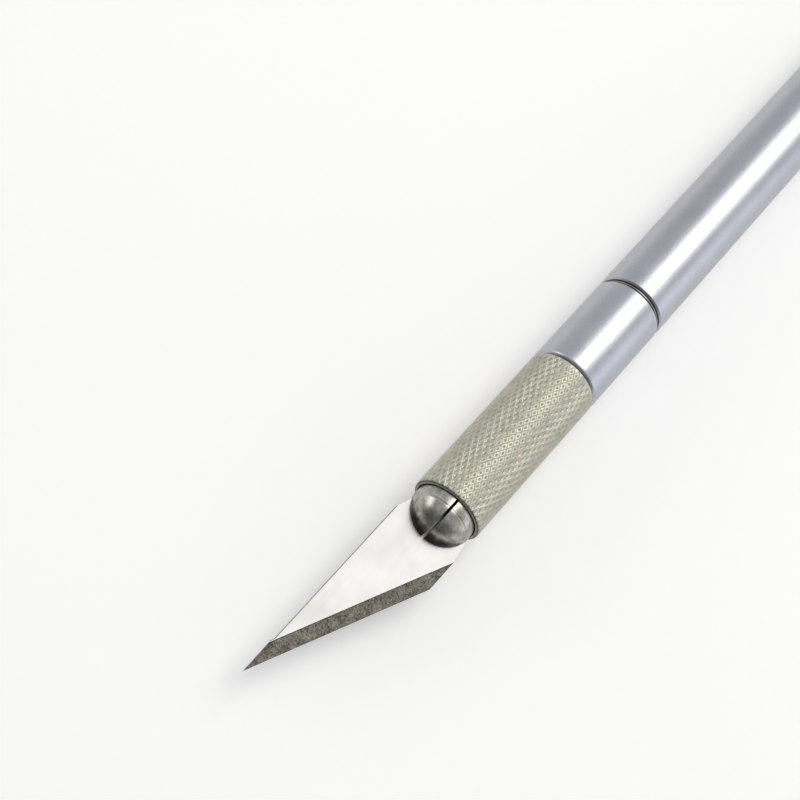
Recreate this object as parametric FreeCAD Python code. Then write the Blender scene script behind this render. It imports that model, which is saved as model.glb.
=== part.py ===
import FreeCAD, Part
import math
import os

# A hobby craft knife: a round aluminium handle with a knurled chuck sleeve that draws a four-jaw
# collet into a cone, so the jaws close on a flat, pointed, replaceable blade.
# Millimetres. The knife lies along X with the blade's point at +X. The blade is flat in the
# X-Y plane with its cutting edge on the +Y side. The origin is the middle of the plain barrel.

# --- handle -------------------------------------------------------------------------------
handle_r = 4.7625          # 3/8 inch round handle, shared by barrel, ferrule and sleeve crests
barrel_len = 71.4          # plain tube behind the seam
barrel_bore_r = 3.62       # bore of the tube
edge_chamfer = 0.12         # broken edge on both sides of the seam
plug_head = 3.3            # part of the end plug that shows behind the tube
plug_round = 1.6           # rounding of the plug's rear edge
plug_spigot = 6.0          # part of the end plug inside the tube
seam_width = 0.6           # thickness of the spacer ring in the seam
seam_ring_r = 4.42         # the ring sits a little below the handle's skin
fixed_gap = 0.02           # radial gap of spigots that are glued or pressed in place

# --- front ferrule ------------------------------------------------------------------------
band_len = 14.65            # smooth band between the knurled sleeve and the seam
band_chamfer = 0.57        # chamfer at the band's front edge, one side of the V groove
spigot_r = 3.60            # spigots at both ends of the ferrule
rear_spigot = 8.0          # length of the spigot inside the barrel
front_spigot = 5.4         # length of the spigot inside the sleeve
shank_r = 2.45             # sliding, threaded shank of the collet
running_gap = 0.05         # radial clearance of everything that slides or turns

# --- retaining ring -----------------------------------------------------------------------
ring_setback = 2.9         # ring's middle in front of the band
ring_width = 0.5           # along the axis
ring_inner_r = 3.25        # bottom of the groove in the spigot
ring_outer_r = 3.92        # top of the groove in the sleeve
ring_side_gap = 0.05       # axial play on each side of the ring

# --- knurled sleeve -----------------------------------------------------------------------
sleeve_len = 24.3          # front face to rear face
sleeve_gap = 0.05          # axial running gap between sleeve and band
nose_round = 0.40          # rounding of the outer front edge
sleeve_chamfer = 0.15      # broken rear edge
mouth_r = 4.30             # edge of the mouth at the front face
mouth_chamfer = 0.25       # depth of the lead-in at the mouth
seat_r = 4.18              # large end of the conical seat
seat_end_r = 3.02          # small end of the conical seat
seat_len = 6.0             # length of the cone
arm_room_r = 3.05          # bore around the spring arms of the jaws
nut_front = 14.4           # start of the internal thread, behind the front face
nut_len = 4.0              # length of the internal thread

# --- collet -------------------------------------------------------------------------------
dome_r = 4.19              # radius of the domed head
dome_back = 1.35           # rear edge of the dome, in front of the sleeve's face
dome_tip = 4.80            # top of the dome, in front of the sleeve's face
land_r = 4.15              # short neck behind the dome
seat_gap = 0.03            # gap between the jaws and the seat when the blade is clamped
cone_back = 5.6            # end of the jaws' cone, behind the sleeve's face
arm_r = 2.20               # spring arms of the jaws
arm_end = 14.0             # root of the arms, behind the sleeve's face
root_gap = 0.03            # gap where the arms leave the shank
cross_slot = 0.36          # slot between upper and lower jaws' neighbours, across the blade
shank_tail = 6.8           # end of the shank behind the seam
key_back = 4.0             # key pin's middle behind the seam
key_r = 0.50               # key pin
key_low = 1.60             # inner end of the pin above the axis
keyway_width = 1.10        # slot in the shank
keyway_floor = 1.50        # floor of that slot above the axis
keyway_len = 6.0           # open-ended slot, measured from the shank's tail

# --- blade --------------------------------------------------------------------------------
blade_t = 0.60             # thickness of the strip
blade_half = 4.72          # half of the strip's width
blade_slot_gap = 0.02      # gap on each side of the blade
point_x = 31.9             # point in front of the sleeve's face
belly_x = 8.9              # where the cutting edge ends
shoulder_x = 4.2           # where the strip starts to narrow towards the tang
back_knee_x = 1.5          # where the edge side starts to narrow faster
back_knee_half = 4.25      # half width there, edge side only
throat_x = -1.2            # where the narrowing reaches the tang
throat_half = 3.05         # half width of the strip there
tang_step_x = -2.6         # end of the rounded-in neck of the tang
tang_half = 2.30           # half width of the tang
tang_end_x = -13.4         # rear end of the tang
bevel_w = 1.76             # width of each ground bevel, square to the cutting edge
edge_t = 0.03              # thickness left at the cutting edge
spine_step = 0.16          # the spine stands this much proud in front of the flat's end
spine_step_x = 27.0        # where that step ends
spine_step_len = 0.45      # its length along the spine
point_drop = 0.10          # the point lies this far outside the spine line
tang_slot_r = 1.10         # ends of the long hole in the tang
tang_slot_x0 = -11.4       # centre of its rear end
tang_slot_x1 = -5.4        # centre of its front end

# --- stations along X ---------------------------------------------------------------------
barrel_back = -barrel_len / 2
barrel_front = barrel_len / 2
band_back = barrel_front + seam_width
band_front = band_back + band_len
sleeve_back = band_front + sleeve_gap
face_x = sleeve_back + sleeve_len
seat_slope = (seat_r - seat_end_r) / seat_len

axis_dir = FreeCAD.Vector(1, 0, 0)


def save(shape, node):
    """Write one node as a STEP file."""
    shape.exportStep("parts/" + node + ".step")


def turned(points):
    """Solid of revolution about the X axis from (x, radius) points."""
    corners = [FreeCAD.Vector(x, 0, r) for x, r in points]
    wire = Part.makePolygon(corners + [corners[0]])
    return Part.Face(wire).revolve(FreeCAD.Vector(0, 0, 0), axis_dir, 360)


def rod(x0, x1, r):
    """Cylinder along X."""
    return Part.makeCylinder(r, x1 - x0, FreeCAD.Vector(x0, 0, 0), axis_dir)


def edges_at(shape, x, r):
    """Round edges of radius r in the plane at x."""
    found = []
    for edge in shape.Edges:
        if not isinstance(edge.Curve, Part.Circle):
            continue
        if abs(edge.Curve.Center.x - x) < 1e-4 and abs(edge.Curve.Radius - r) < 1e-4:
            found.append(edge)
    return found


def make_barrel():
    """Plain tube with broken edges at both ends."""
    return turned([
        (barrel_back, barrel_bore_r),
        (barrel_back, handle_r - edge_chamfer),
        (barrel_back + edge_chamfer, handle_r),
        (barrel_front - edge_chamfer, handle_r),
        (barrel_front, handle_r - edge_chamfer),
        (barrel_front, barrel_bore_r),
    ])


def make_end_plug():
    """Plug with a rounded head and a spigot glued into the tube."""
    x_end = barrel_back - plug_head
    head = rod(x_end, barrel_back, handle_r)
    head = head.makeFillet(plug_round, edges_at(head, x_end, handle_r))
    head = head.makeChamfer(edge_chamfer, edges_at(head, barrel_back, handle_r))
    spigot = rod(barrel_back - 0.5, barrel_back + plug_spigot, barrel_bore_r - fixed_gap)
    return head.fuse(spigot).removeSplitter()


def make_seam_ring():
    """Flat spacer ring between the ferrule and the tube."""
    outer = rod(barrel_front, band_back, seam_ring_r)
    return outer.cut(rod(barrel_front - 1, band_back + 1, spigot_r + fixed_gap))


def make_front_ferrule():
    """Smooth band with a spigot at each end and one bore for the collet's shank."""
    ring_x = band_front + ring_setback
    groove_half = ring_width / 2 + ring_side_gap
    body = turned([
        (barrel_front - rear_spigot, shank_r + running_gap),
        (barrel_front - rear_spigot, spigot_r),
        (band_back, spigot_r),
        (band_back, handle_r - edge_chamfer),
        (band_back + edge_chamfer, handle_r),
        (band_front - band_chamfer, handle_r),
        (band_front, handle_r - band_chamfer),
        (band_front, spigot_r),
        (ring_x - groove_half, spigot_r),
        (ring_x - groove_half, ring_inner_r),
        (ring_x + groove_half, ring_inner_r),
        (ring_x + groove_half, spigot_r),
        (band_front + front_spigot, spigot_r),
        (band_front + front_spigot, shank_r + running_gap),
    ])
    hole = Part.makeCylinder(
        key_r, handle_r, FreeCAD.Vector(barrel_front - key_back, 0, 0), FreeCAD.Vector(0, 0, 1))
    return body.cut(hole)


def make_key_pin():
    """Pin through the ferrule's rear spigot that keeps the collet from turning."""
    start = FreeCAD.Vector(barrel_front - key_back, 0, key_low)
    return Part.makeCylinder(key_r - 0.01, spigot_r - 0.05 - key_low, start, FreeCAD.Vector(0, 0, 1))


def make_retaining_ring():
    """Split wire ring that keeps the sleeve on the ferrule and lets it turn."""
    ring_x = band_front + ring_setback
    x0 = ring_x - ring_width / 2
    x1 = ring_x + ring_width / 2
    ring = rod(x0, x1, ring_outer_r - running_gap)
    ring = ring.cut(rod(x0 - 1, x1 + 1, ring_inner_r + fixed_gap))
    gap = Part.makeBox(ring_width + 2, 1.2, 6, FreeCAD.Vector(x0 - 1, -0.6, -6))
    return ring.cut(gap)


def make_knurled_sleeve():
    """Chuck sleeve: cone at the mouth, thread for the shank, running bore on the ferrule."""
    ring_x = band_front + ring_setback
    groove_half = ring_width / 2 + ring_side_gap
    seat_start = face_x - mouth_chamfer
    nut_start = face_x - nut_front
    body = turned([
        (sleeve_back, spigot_r + running_gap),
        (sleeve_back, handle_r - sleeve_chamfer),
        (sleeve_back + sleeve_chamfer, handle_r),
        (face_x, handle_r),
        (face_x, mouth_r),
        (seat_start, seat_r),
        (seat_start - seat_len, seat_end_r),
        (seat_start - seat_len, arm_room_r),
        (nut_start, arm_room_r),
        (nut_start, shank_r + running_gap),
        (nut_start - nut_len, shank_r + running_gap),
        (nut_start - nut_len, spigot_r + running_gap),
        (ring_x + groove_half, spigot_r + running_gap),
        (ring_x + groove_half, ring_outer_r),
        (ring_x - groove_half, ring_outer_r),
        (ring_x - groove_half, spigot_r + running_gap),
    ])
    return body.makeFillet(nose_round, edges_at(body, face_x, handle_r))


def make_collet_shank():
    """Round shank with an open keyway at its tail."""
    tail = barrel_front - shank_tail
    shank = rod(tail, face_x - arm_end - root_gap, shank_r)
    keyway = Part.makeBox(
        keyway_len + 1, keyway_width, shank_r, FreeCAD.Vector(tail - 1, -keyway_width / 2, keyway_floor))
    return shank.cut(keyway)


def make_jaw_blank():
    """Whole head with arms, before it is divided into four jaws."""
    x_sphere = face_x + dome_tip - dome_r
    dome = Part.makeSphere(dome_r, FreeCAD.Vector(x_sphere, 0, 0))
    dome = dome.common(rod(face_x + dome_back, face_x + dome_tip + 1, dome_r + 1))
    cone_r = seat_r - seat_gap + seat_slope * mouth_chamfer
    land_x = face_x - (cone_r - land_r) / seat_slope
    body = turned([
        (face_x + dome_back, 0),
        (face_x + dome_back, land_r),
        (land_x, land_r),
        (face_x - cone_back, cone_r - seat_slope * cone_back),
        (face_x - cone_back - 0.6, arm_r),
        (face_x - arm_end, arm_r),
        (face_x - arm_end, 0),
    ])
    return body.fuse(dome).removeSplitter()


def make_jaw(blank, side_y, side_z):
    """Quarter of the head on one side of both slots."""
    half_blade_slot = blade_t / 2 + blade_slot_gap
    size = 2 * handle_r
    y0 = cross_slot / 2 if side_y > 0 else -cross_slot / 2 - size
    z0 = half_blade_slot if side_z > 0 else -half_blade_slot - size
    corner = FreeCAD.Vector(face_x - arm_end - 1, y0, z0)
    return blank.common(Part.makeBox(arm_end + dome_tip + 2, size, size, corner))


def make_bevel_cut(side_z):
    """Material that grinding takes from one face along the cutting edge."""
    run = FreeCAD.Vector(belly_x - point_x, 2 * blade_half + point_drop, 0)
    along = FreeCAD.Vector(run)
    along.normalize()
    inward = FreeCAD.Vector(-along.y, along.x, 0)
    start = FreeCAD.Vector(face_x + point_x, -blade_half - point_drop, 0) - along * 4
    slope = (blade_t - edge_t) / 2 / bevel_w
    over = 1.0
    section = [
        (-over, edge_t / 2 - slope * over),
        (bevel_w, blade_t / 2),
        (bevel_w, blade_t / 2 + over),
        (-over, blade_t / 2 + over),
    ]
    corners = [start + inward * u + FreeCAD.Vector(0, 0, side_z * z) for u, z in section]
    face = Part.Face(Part.makePolygon(corners + [corners[0]]))
    return face.extrude(along * (run.Length + 8))


def make_blade():
    """Flat strip, pointed at the front, bevelled on both faces, with a slotted tang."""
    outline = [
        (point_x, -blade_half - point_drop),
        (belly_x, blade_half),
        (shoulder_x, blade_half),
        (back_knee_x, back_knee_half),
        (throat_x, throat_half),
        (tang_step_x, tang_half),
        (tang_end_x + 0.6, tang_half),
        (tang_end_x, tang_half - 0.6),
        (tang_end_x, -tang_half + 0.6),
        (tang_end_x + 0.6, -tang_half),
        (tang_step_x, -tang_half),
        (throat_x, -throat_half),
        (shoulder_x, -blade_half),
        (spine_step_x - spine_step_len, -blade_half),
        (spine_step_x, -blade_half - spine_step),
    ]
    corners = [FreeCAD.Vector(face_x + x, y, -blade_t / 2) for x, y in outline]
    strip = Part.Face(Part.makePolygon(corners + [corners[0]])).extrude(FreeCAD.Vector(0, 0, blade_t))
    for x in (tang_slot_x0, tang_slot_x1):
        strip = strip.cut(Part.makeCylinder(tang_slot_r, 4, FreeCAD.Vector(face_x + x, 0, -2)))
    middle = Part.makeBox(
        tang_slot_x1 - tang_slot_x0, 2 * tang_slot_r, 4,
        FreeCAD.Vector(face_x + tang_slot_x0, -tang_slot_r, -2))
    strip = strip.cut(middle)
    for side in (1, -1):
        strip = strip.cut(make_bevel_cut(side))
    return strip.removeSplitter()


os.makedirs("parts", exist_ok=True)
save(make_barrel(), "barrel")
save(make_end_plug(), "end_plug")
save(make_seam_ring(), "seam_ring")
save(make_front_ferrule(), "front_ferrule")
save(make_key_pin(), "key_pin")
save(make_retaining_ring(), "retaining_ring")
save(make_knurled_sleeve(), "knurled_sleeve")
save(make_collet_shank(), "collet_shank")
jaw_blank = make_jaw_blank()
jaw_sides = [(1, 1), (-1, 1), (-1, -1), (1, -1)]
for number, (side_y, side_z) in enumerate(jaw_sides, start=1):
    save(make_jaw(jaw_blank, side_y, side_z), "collet_jaw_" + str(number))
save(make_blade(), "blade")
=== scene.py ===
# %% [markdown]
# # A hobby craft knife in satin aluminium and steel
# The knife is a round handle with a knurled chuck sleeve, a domed four-jaw collet and a thin
# pointed blade. Turning the sleeve draws the collet into a cone, which pinches the blade.
# This notebook dresses the exact solids: each visible piece is rebuilt here as a fine mesh with
# its own finish, and rides on the body it belongs to.

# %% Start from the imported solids
import math

import bpy
import bmesh
from mathutils import Matrix, Vector


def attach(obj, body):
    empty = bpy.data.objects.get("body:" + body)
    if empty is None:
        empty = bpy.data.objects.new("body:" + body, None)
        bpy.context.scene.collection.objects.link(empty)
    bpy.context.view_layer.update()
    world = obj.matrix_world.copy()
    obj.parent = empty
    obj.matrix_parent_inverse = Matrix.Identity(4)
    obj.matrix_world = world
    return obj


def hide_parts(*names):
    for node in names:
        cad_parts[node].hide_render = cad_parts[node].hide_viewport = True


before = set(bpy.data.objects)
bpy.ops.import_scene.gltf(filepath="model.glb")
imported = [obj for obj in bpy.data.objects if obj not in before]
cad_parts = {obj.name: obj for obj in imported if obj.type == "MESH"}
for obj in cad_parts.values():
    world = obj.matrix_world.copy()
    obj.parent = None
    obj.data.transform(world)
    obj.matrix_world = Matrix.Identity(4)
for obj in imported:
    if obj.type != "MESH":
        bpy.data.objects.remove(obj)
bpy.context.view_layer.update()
print("nodes:", sorted(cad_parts))

# %% [markdown]
# ## The stations of the knife
# Every turned piece of a handle is described by where its faces stand along the axis. On the
# real tool those are the stops a lathe operator sets once. Writing them once here, in metres,
# lets every later cell speak of "the sleeve's face" rather than of a number.

# %% Stations
MM = 0.001
HANDLE_R = 4.7625 * MM
TAIL = -39.0 * MM
BARREL_BACK = -35.7 * MM
BARREL_FRONT = 35.7 * MM
BAND_BACK = 36.3 * MM
BAND_FRONT = 50.95 * MM
SLEEVE_BACK = 51.0 * MM
FACE = 75.3 * MM
print("handle", round((FACE - TAIL) / MM, 2), "mm long,", 2 * HANDLE_R / MM, "mm thick")

# %% [markdown]
# ## Breaking the corners
# No turned edge is perfectly sharp: the lathe operator touches each one with a file, and that
# small round is what catches the light as a thin bright line. A bevel modifier could add it
# later, but rounding the profile before it is spun costs less and stays even all the way round.

# %% Corner rounding


def rounded(profile, radius, steps=4):
    """Closed profile with each corner off the axis replaced by an arc of the radius, or less."""
    out = []
    count = len(profile)
    for i, corner in enumerate(profile):
        here = Vector(corner)
        before = Vector(profile[i - 1]) - here
        after = Vector(profile[(i + 1) % count]) - here
        turn = before.angle(after, math.pi)
        if turn > math.radians(172) or here.y < 1e-9:
            out.append((here.x, here.y))
            continue
        reach = radius / math.tan(turn / 2)
        reach = min(reach, before.length * 0.4, after.length * 0.4)
        bow = reach * math.tan(turn / 2)
        bisector = (before.normalized() + after.normalized()).normalized()
        centre = here + bisector * (bow / math.sin(turn / 2))
        first = here + before.normalized() * reach - centre
        last = here + after.normalized() * reach - centre
        sweep = first.angle_signed(last)
        for k in range(steps + 1):
            part = first.copy()
            part.rotate(Matrix.Rotation(-sweep * k / steps, 2))
            out.append((centre.x + part.x, centre.y + part.y))
    return out


print("a rounded square has", len(rounded([(0, 1), (1, 1), (1, 2), (0, 2)], 0.1)), "points")

# %% [markdown]
# ## A lathe in code
# A lathe makes a shape by sweeping one profile round the axis, so a small function does the
# same: it takes the closed profile as (x, radius) pairs and rings it with vertices. A Screw
# modifier could do it too, but a mesh made directly has no pole to repair on the axis.

# %% Mesh helper


def mesh_object(name, verts, faces, material, smooth_angle=30):
    """Mesh object at the origin, smooth except across edges sharper than the angle."""
    mesh = bpy.data.meshes.new(name)
    mesh.from_pydata(verts, [], faces)
    mesh.validate()
    bm = bmesh.new()
    bm.from_mesh(mesh)
    bmesh.ops.remove_doubles(bm, verts=bm.verts, dist=1e-8)
    bmesh.ops.dissolve_degenerate(bm, dist=1e-9, edges=bm.edges)
    bmesh.ops.recalc_face_normals(bm, faces=bm.faces)
    for face in bm.faces:
        face.smooth = True
    limit = math.radians(smooth_angle)
    for edge in bm.edges:
        edge.smooth = len(edge.link_faces) == 2 and edge.calc_face_angle(0) < limit
    bm.to_mesh(mesh)
    bm.free()
    obj = bpy.data.objects.new(name, mesh)
    bpy.context.scene.collection.objects.link(obj)
    mesh.materials.append(material)
    return obj


print("edges sharper than 30 degrees stay sharp")

# %% Lathe
ROUND_STEPS = 192


def lathe(name, profile, material, steps=ROUND_STEPS):
    """Turned piece from a closed (x, radius) profile; points on the axis close themselves."""
    verts = []
    rows = len(profile)
    for x, r in profile:
        for k in range(steps):
            a = 2 * math.pi * k / steps
            verts.append((x, r * math.cos(a), r * math.sin(a)))
    faces = []
    for i in range(rows):
        j = (i + 1) % rows
        if profile[i][1] < 1e-9 and profile[j][1] < 1e-9:
            continue
        for k in range(steps):
            n = (k + 1) % steps
            faces.append((i * steps + k, i * steps + n, j * steps + n, j * steps + k))
    return mesh_object(name, verts, faces, material)


print("the lathe makes", ROUND_STEPS, "facets to a turn")

# %% [markdown]
# ## Arithmetic on masks
# Both a finish and a knurl are worked out by small sums on values that change from point to
# point. In Blender each sum is a Math node, so a few short functions make the node, join its
# inputs and hand back its output. The same ones serve materials and Geometry Nodes alike.

# %% Math nodes


def add(tree, kind, label="", **values):
    """Node with its plain properties and, after a leading in_, its socket values set."""
    node = tree.nodes.new(kind)
    node.label = label
    for key, value in values.items():
        if key.startswith("in_"):
            node.inputs[key[3:].replace("_", " ")].default_value = value
        else:
            setattr(node, key, value)
    return node


def give(tree, socket, value):
    """Feed a socket from another one, or set it to a plain value."""
    if isinstance(value, bpy.types.NodeSocket):
        tree.links.new(value, socket)
    else:
        socket.default_value = value


def math_node(tree, operation, *values, clamp=False):
    node = add(tree, "ShaderNodeMath", operation=operation, use_clamp=clamp)
    for socket, value in zip(node.inputs, values):
        give(tree, socket, value)
    return node.outputs[0]


print("a sum or a mask is one Math node for each step")

# %% Short sums


def times(tree, first, second):
    return math_node(tree, "MULTIPLY", first, second)


def plus(tree, first, second):
    return math_node(tree, "ADD", first, second)


def minus(tree, first, second):
    return math_node(tree, "SUBTRACT", first, second)


def over(tree, first, second, clamp=False):
    return math_node(tree, "DIVIDE", first, second, clamp=clamp)


def weighted(tree, even, *pairs):
    """The even part plus value * weight over the (value, weight) pairs."""
    total = even
    for value, weight in pairs:
        total = math_node(tree, "MULTIPLY_ADD", value, weight, total)
    return total


def split_xyz(tree, vector):
    node = tree.nodes.new("ShaderNodeSeparateXYZ")
    tree.links.new(vector, node.inputs[0])
    return node.outputs["X"], node.outputs["Y"], node.outputs["Z"]


def join_xyz(tree, *values):
    node = tree.nodes.new("ShaderNodeCombineXYZ")
    for socket, value in zip(node.inputs, values):
        give(tree, socket, value)
    return node.outputs[0]


print("sums ready: times, plus, minus, over, weighted")

# %% [markdown]
# ## Patterns and colours
# A finish starts as noise. Stretching the noise along one axis turns clouds into the fine lines
# that a tool leaves, and a Map Range node picks out only its peaks, or all of it softly. Metal
# shows relief far smaller than any mesh, so the finest of it is a bump on the normal.

# %% Texture nodes


def noise(tree, coords, scale, detail, rough, label="noise"):
    node = add(tree, "ShaderNodeTexNoise", label, in_Scale=scale, in_Detail=detail, in_Roughness=rough)
    tree.links.new(coords, node.inputs["Vector"])
    return node.outputs["Fac"]


def remap(tree, value, low, high, to_low=0.0, to_high=1.0, label="remap"):
    node = add(tree, "ShaderNodeMapRange", label, in_From_Min=low, in_From_Max=high,
               in_To_Min=to_low, in_To_Max=to_high)
    tree.links.new(value, node.inputs["Value"])
    return node.outputs["Result"]


def stretched(tree, coords, factors, turn=(0.0, 0.0, 0.0)):
    node = add(tree, "ShaderNodeMapping", "stretch", in_Scale=factors, in_Rotation=turn)
    tree.links.new(coords, node.inputs["Vector"])
    return node.outputs["Vector"]


def mix_colour(tree, factor, first, second, label="mix"):
    """Colour mix; each colour is a socket or three plain numbers."""
    node = add(tree, "ShaderNodeMix", label, data_type="RGBA")
    give(tree, node.inputs[0], factor)
    for spot, value in ((6, first), (7, second)):
        give(tree, node.inputs[spot], (*value, 1.0) if isinstance(value, tuple) else value)
    return node.outputs[2]


def bump(tree, height, distance):
    node = add(tree, "ShaderNodeBump", "relief", in_Strength=1.0, in_Distance=distance)
    tree.links.new(height, node.inputs["Height"])
    return node.outputs["Normal"]


print("patterns ready: noise, remap, stretched, mix_colour, bump")

# %% [markdown]
# ## Traces of handling, shared by every metal
# Metal seen close up is never one value: fingers leave faint films, and a drawer leaves
# hairlines and tiny pits. These traces are the same on every metal here, so they are one shader
# group that hands out three masks, and each material decides how far to use them.

# %% Handling group


def build_handling_group():
    """Masks of handling: broad smudges, faint hairline scratches and tiny pits."""
    group = bpy.data.node_groups.new("handling", "ShaderNodeTree")
    group.interface.new_socket("Coordinates", in_out="INPUT", socket_type="NodeSocketVector")
    for label in ("Smudge", "Scratch", "Speck"):
        group.interface.new_socket(label, in_out="OUTPUT", socket_type="NodeSocketFloat")
    coords = group.nodes.new("NodeGroupInput").outputs["Coordinates"]
    end = group.nodes.new("NodeGroupOutput")

    smudge = remap(group, noise(group, coords, 190.0, 4.0, 0.55, "finger film"), 0.38, 0.68)
    group.links.new(smudge, end.inputs["Smudge"])

    slanted = stretched(group, coords, (900.0, 9000.0, 9000.0), (0.3, 0.25, 0.45))
    hair = remap(group, noise(group, slanted, 1.0, 2.0, 0.6, "hairlines"), 0.66, 0.74)
    patch = remap(group, noise(group, coords, 320.0, 2.0, 0.5, "where they gather"), 0.45, 0.7)
    group.links.new(times(group, hair, patch), end.inputs["Scratch"])

    speck = remap(group, noise(group, coords, 5200.0, 2.0, 0.5, "pits"), 0.68, 0.76)
    group.links.new(speck, end.inputs["Speck"])
    return group


handling = build_handling_group()
print("group", handling.name, "gives", [s.name for s in handling.interface.items_tree])

# %% [markdown]
# ## How every metal starts and ends
# All the metals share the same first and last steps: a metallic surface with coordinates that
# ride with the piece, and a colour, a roughness and a fine relief joined to it at the end. Two
# short functions do those steps, so each material below says only what makes it different.

# %% Start and end of a metal


def begin_metal(name):
    """Material with a metallic surface, object coordinates and the handling masks."""
    mat = bpy.data.materials.new(name)
    mat.use_nodes = True
    tree = mat.node_tree
    surface = tree.nodes["Principled BSDF"]
    surface.inputs["Metallic"].default_value = 1.0
    coords = add(tree, "ShaderNodeTexCoord").outputs["Object"]
    masks = add(tree, "ShaderNodeGroup", "handling", node_tree=handling)
    tree.links.new(coords, masks.inputs["Coordinates"])
    return mat, tree, surface, coords, masks.outputs


def end_metal(tree, surface, colour, roughness, relief, depth):
    """Join the colour, the roughness and a relief of the given depth to the surface."""
    tree.links.new(colour, surface.inputs["Base Color"])
    tree.links.new(roughness, surface.inputs["Roughness"])
    tree.links.new(bump(tree, relief, depth), surface.inputs["Normal"])


print("every metal starts with object coordinates and", handling.name)

# %% [markdown]
# ## Satin anodised aluminium
# The barrel and the band are turned, etched to a fine satin and clear anodised. The etch leaves
# a grain too small to see that spreads each highlight into a soft band, and the thin clear
# oxide gives the metal a faint blue-lilac cast. Fine lathe rings survive underneath, so the
# roughness also varies in narrow rings along the axis. One even roughness would be quicker, but
# it looks like paint. The grain is made as a bump, because it is finer than any mesh.

# %% Aluminium material


def make_satin_aluminium():
    mat, tree, surface, coords, masks = begin_metal("satin_aluminium")
    rings = noise(tree, stretched(tree, coords, (9000.0, 25.0, 25.0)), 1.0, 3.0, 0.6, "lathe rings")
    cloud = noise(tree, coords, 260.0, 4.0, 0.55, "oxide clouds")
    grain = noise(tree, coords, 3600.0, 4.0, 0.70, "etched grain")
    base = mix_colour(tree, remap(tree, cloud, 0.3, 0.7), (0.620, 0.629, 0.700), (0.670, 0.678, 0.735))
    base = mix_colour(tree, times(tree, masks["Smudge"], 0.10), base, (0.56, 0.555, 0.60), "finger film")
    matt = remap(tree, grain, 0.40, 0.62, 0.0, 0.14)
    base = mix_colour(tree, matt, base, (0.30, 0.305, 0.34), "matt grains")
    rough = weighted(tree, 0.235, (rings, 0.06), (cloud, 0.05), (grain, 0.04),
                     (masks["Smudge"], 0.035), (masks["Scratch"], 0.10))
    relief = weighted(tree, 0.0, (rings, 0.10), (grain, 1.3), (masks["Scratch"], -0.25),
                      (masks["Speck"], -0.15))
    end_metal(tree, surface, base, rough, relief, 0.019 * MM)
    return mat


satin = make_satin_aluminium()
print(satin.name, "has", len(satin.node_tree.nodes), "nodes")

# %% [markdown]
# ## Knurled chuck metal
# The sleeve is a harder piece with a warm, olive-grey plating. Rolling the knurl burnishes its
# ridges and leaves them smoother than the pits. The colour follows how far a point stands from
# the axis: bright on the crests, darker below, as painted shade in the pits. The rounded nose lies
# lower too, so a second mask along the axis keeps that painted shade off it and gives it its own colour.
# An image could mark the crests, but it would have to be fitted to the knurl: a mask made from
# the radius fits any knurl by itself.

# %% Knurl material


def radius_mask(tree, coords, low, high):
    """0 at the lower radius about the X axis, 1 at the upper one."""
    _, y, z = split_xyz(tree, coords)
    radius = add(tree, "ShaderNodeVectorMath", "radius", operation="LENGTH")
    tree.links.new(join_xyz(tree, 0.0, y, z), radius.inputs[0])
    return remap(tree, radius.outputs["Value"], low, high, label="height of the knurl")


def make_knurl_metal():
    mat, tree, surface, coords, masks = begin_metal("knurl_metal")
    height = radius_mask(tree, coords, HANDLE_R - 0.165 * MM, HANDLE_R - 0.07 * MM)
    fleck = noise(tree, coords, 1500.0, 3.0, 0.6, "plating flecks")
    fine = noise(tree, coords, 9000.0, 2.0, 0.6, "rolled grain")
    crest = mix_colour(tree, remap(tree, fleck, 0.35, 0.65), (0.54, 0.56, 0.475), (0.73, 0.685, 0.58))
    # painted shade: the pits get a darker colour than the crests
    pit_shade = mix_colour(tree, fleck, (0.20, 0.195, 0.16), (0.32, 0.31, 0.26))
    base = mix_colour(tree, height, pit_shade, crest, "crest and valley")
    along, _, _ = split_xyz(tree, coords)
    nose = remap(tree, along, FACE - 0.09 * MM, FACE - 0.03 * MM, label="plain nose")
    base = mix_colour(tree, nose, base, (0.56, 0.56, 0.54), "nose without the pit shade")
    rough = weighted(tree, 0.46, (height, -0.10), (fleck, 0.12), (fine, 0.06), (masks["Smudge"], 0.05))
    relief = weighted(tree, 0.0, (fleck, 0.8), (fine, 0.3))
    end_metal(tree, surface, base, rough, relief, 0.010 * MM)
    return mat


knurl_metal = make_knurl_metal()
print(knurl_metal.name, "has", len(knurl_metal.node_tree.nodes), "nodes")

# %% [markdown]
# ## Collet steel
# The jaws are hardened and polished, then left plain, so they are darker than the handle and
# lightly mottled by heat treatment and handling. The polish is good enough to mirror the
# room, which is why a dome of this steel looks half black and half bright. A mask also darkens
# the low front of the dome along the blade: painted shade where the dome meets the blade. A plain
# dark colour would dull the mirror, so the steel stays metallic and only its tone varies.

# %% Collet material


def blade_contact_shade(tree, coords, uneven):
    """Mask of the painted shade along the blade and up the front of the head."""
    along, _, above = split_xyz(tree, coords)
    height = math_node(tree, "MULTIPLY_ADD", uneven, 0.9 * MM, math_node(tree, "ABSOLUTE", above))
    low = remap(tree, height, 1.5 * MM, 2.6 * MM, 0.88, 0.0, "close to the blade")
    front = remap(tree, along, FACE + 2.0 * MM, FACE + 3.8 * MM, label="front of the head")
    return times(tree, low, front)


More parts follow.
